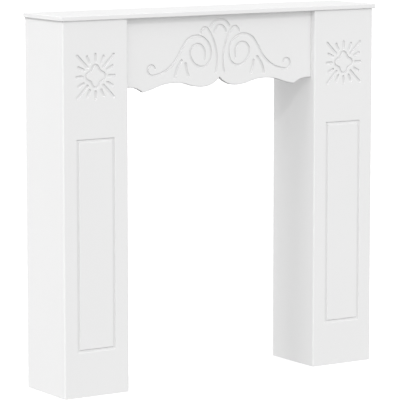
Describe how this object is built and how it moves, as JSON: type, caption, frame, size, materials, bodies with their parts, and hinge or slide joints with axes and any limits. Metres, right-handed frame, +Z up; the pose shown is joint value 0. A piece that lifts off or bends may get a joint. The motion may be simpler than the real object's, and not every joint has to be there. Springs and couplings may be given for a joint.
{
  "type": "fireplace mantelpiece",
  "caption": "Free-standing fireplace surround: box pilasters with a routed sunburst and long panel, a wavy scroll-carved frieze and a thin top shelf.",
  "frame": {"origin": "on the floor, below the centre of the top shelf", "axes": "+X along the shelf to the right of someone who faces the front, +Y back towards the wall, +Z up"},
  "size_m": [1, 0.2, 1],
  "materials": {
    "paint": "satin white paint on board"
  },
  "bodies": {
    "root": {"top_shelf": "paint", "frieze": "paint", "left_pilaster_front": "paint", "left_pilaster_outer_side": "paint", "left_pilaster_inner_side": "paint", "right_pilaster_front": "paint", "right_pilaster_outer_side": "paint", "right_pilaster_inner_side": "paint"}
  },
  "joints": []
}
